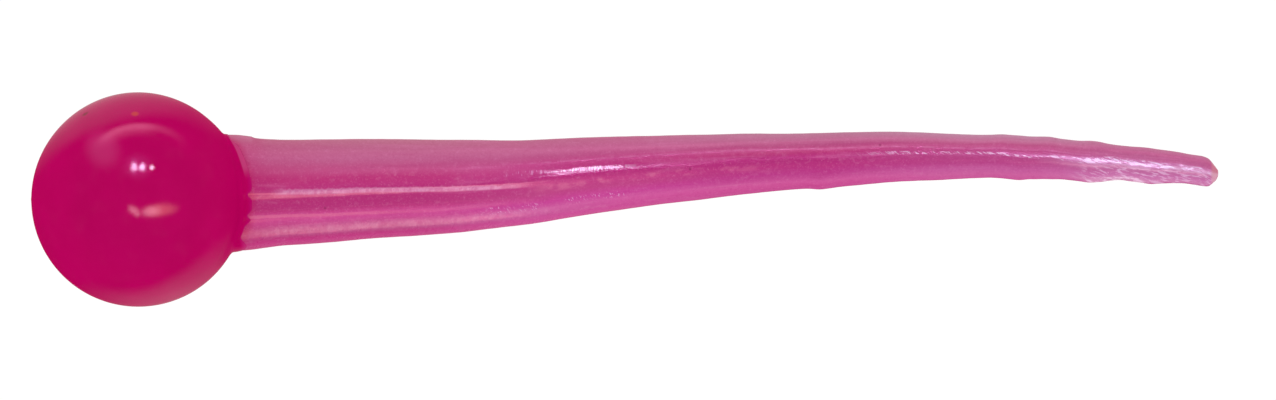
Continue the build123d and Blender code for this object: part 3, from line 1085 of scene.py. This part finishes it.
def mirrored_surroundings(graph):
    """Colour of the lamps and panels, seen only in reflections. They are placed by
    (hx, hy, hz): the way a surface must face to mirror a direction straight up."""
    coordinates = graph.value("ShaderNodeTexCoord", {}, "Generated")
    hx, hy, hz = graph.split(coordinates)
    hz = hz + 1.0001
    size = graph.math("SQRT", hx * hx + hy * hy + hz * hz)
    hx, hy, hz = hx / size, hy / size, hz / size
    # panels are dimmer low down, where surfaces mirror them more strongly
    fresnel = 0.036 + (1.0 - hz) ** 5.0 * 0.964

    def light(strength, rgb):
        return graph.value("ShaderNodeVectorMath", {0: rgb, "Scale": strength}, operation="SCALE")

    def panel(amount, rgb):
        """amount times a colour, as a mirrored brightness of rgb at every angle."""
        return light(amount / fresnel, rgb)

    def spot(centre, radii, soft, turn=0.0):
        """A soft-edged ellipse in (hx, hy)."""
        cos, sin = math.cos(turn), math.sin(turn)
        dx, dy = hx - centre[0], hy - centre[1]
        distance = hypot((dx * cos + dy * sin) / radii[0], (dy * cos - dx * sin) / radii[1])
        return distance.step(1.0 + soft, 1.0 - soft)

    def by_angle(stops):
        """A value from 0 to 1 by the compass angle of (hx, hy)."""
        angle = graph.math("ARCTAN2", hy, hx)
        return graph.ramp(angle * (1 / (2 * math.pi)) + 0.5,
                          [(at / 360 + 0.5, (value, value, value, 1)) for at, value in stops])

    pale, inner = by_angle(PALE), by_angle(PALE_INNER)
    tilt = hypot(hx, hy)
    pale = pale * (tilt - inner).step(-0.06, 0.06)
    pale = pale * (1.0 - product(tilt.step(0.92, 1.0), hy.step(0.05, -0.05), 0.45))
    # thin bright upper edge of an overhead panel, wider towards -X
    ring = hypot((hx - 0.03) / 0.52, (hy - 0.30) / 0.39)
    left = hx.step(0.22, 0.02)
    crest = ring.step(1.10, 1.00) * ring.step(0.86, 0.98)
    wide = product(ring.step(1.10, 0.98), ring.step(0.70, 0.98), left)
    arc = product(crest * 0.45 + wide * 0.55,
                  hy.step(0.42, 0.58), hx.step(0.50, 0.10), hx.step(-0.46, -0.20))
    blob = spot((-0.33, 0.47), (0.13, 0.15), soft=0.6, turn=0.6)
    # a row of three small lamps, with their smear and halo
    lamps = spot((-0.036, 0.306), (0.018, 0.030), soft=0.35).at_least(
        spot((0.041, 0.304), (0.020, 0.027), soft=0.35).at_least(
            spot((0.132, 0.301), (0.014, 0.017), soft=0.35)))
    smear = spot((-0.036, 0.306), (0.024, 0.062), soft=0.5).at_least(
        spot((0.041, 0.304), (0.030, 0.040), soft=0.5))
    halo = spot((0.0, 0.31), (0.10, 0.085), soft=0.8)
    lights = [
        light(hz.step(0.86, 0.72), (0.45, 0.005, 0.085)),
        light(pale, (0.42, 1.0, 0.84)),
        panel(lamps, (1.30, 1.02, 1.50)),
        panel(smear, (0.12, 0.055, 0.18)),
        panel(halo, (0.028, 0.014, 0.050)),
        # three soft glints on the -Y side
        panel(spot((-0.034, -0.107), (0.060, 0.030), soft=0.5, turn=-0.75), (0.25, 0.15, 0.17)),
        panel(spot((0.125, -0.108), (0.076, 0.042), soft=0.6, turn=0.15), (0.18, 0.125, 0.155)),
        panel(spot((0.205, -0.095), (0.135, 0.050), soft=0.6, turn=0.12), (0.16, 0.070, 0.042)),
        panel(arc, (0.140, 0.060, 0.090)),
        panel(blob, (0.034, 0.019, 0.037)),
    ]
    total = lights[0]
    for item in lights[1:]:
        total = graph.value("ShaderNodeVectorMath", {0: total, 1: item}, operation="ADD")
    return total


def build_world():
    world = bpy.data.worlds.new("studio")
    bpy.context.scene.world = world
    graph = Graph(world, "ShaderNodeOutputWorld")
    is_mirrored = graph.value("ShaderNodeLightPath", {}, "Is Glossy Ray")
    mirrored = graph.value("ShaderNodeBackground", {"Color": mirrored_surroundings(graph)})
    plain = graph.value("ShaderNodeBackground", {"Color": WHITE, "Strength": GLOW})
    graph.fill(graph.output, {"Surface": graph.mix_shaders(is_mirrored, plain, mirrored)})
    world.cycles.sampling_method = "NONE"


def build_camera():
    """Looks straight down, without perspective, with the tail running to the right."""
    lens = bpy.data.cameras.new("camera")
    lens.type = "ORTHO"
    lens.ortho_scale = 0.08166
    lens.clip_start, lens.clip_end = 0.01, 10.0
    camera = add_object("camera", lens)
    camera.location = (0.03199, -0.00003, 0.4)
    bpy.context.scene.camera = camera


build_floor()
build_world()
build_camera()
bpy.context.scene.view_settings.view_transform = "Standard"
bpy.context.scene.view_settings.look = "None"
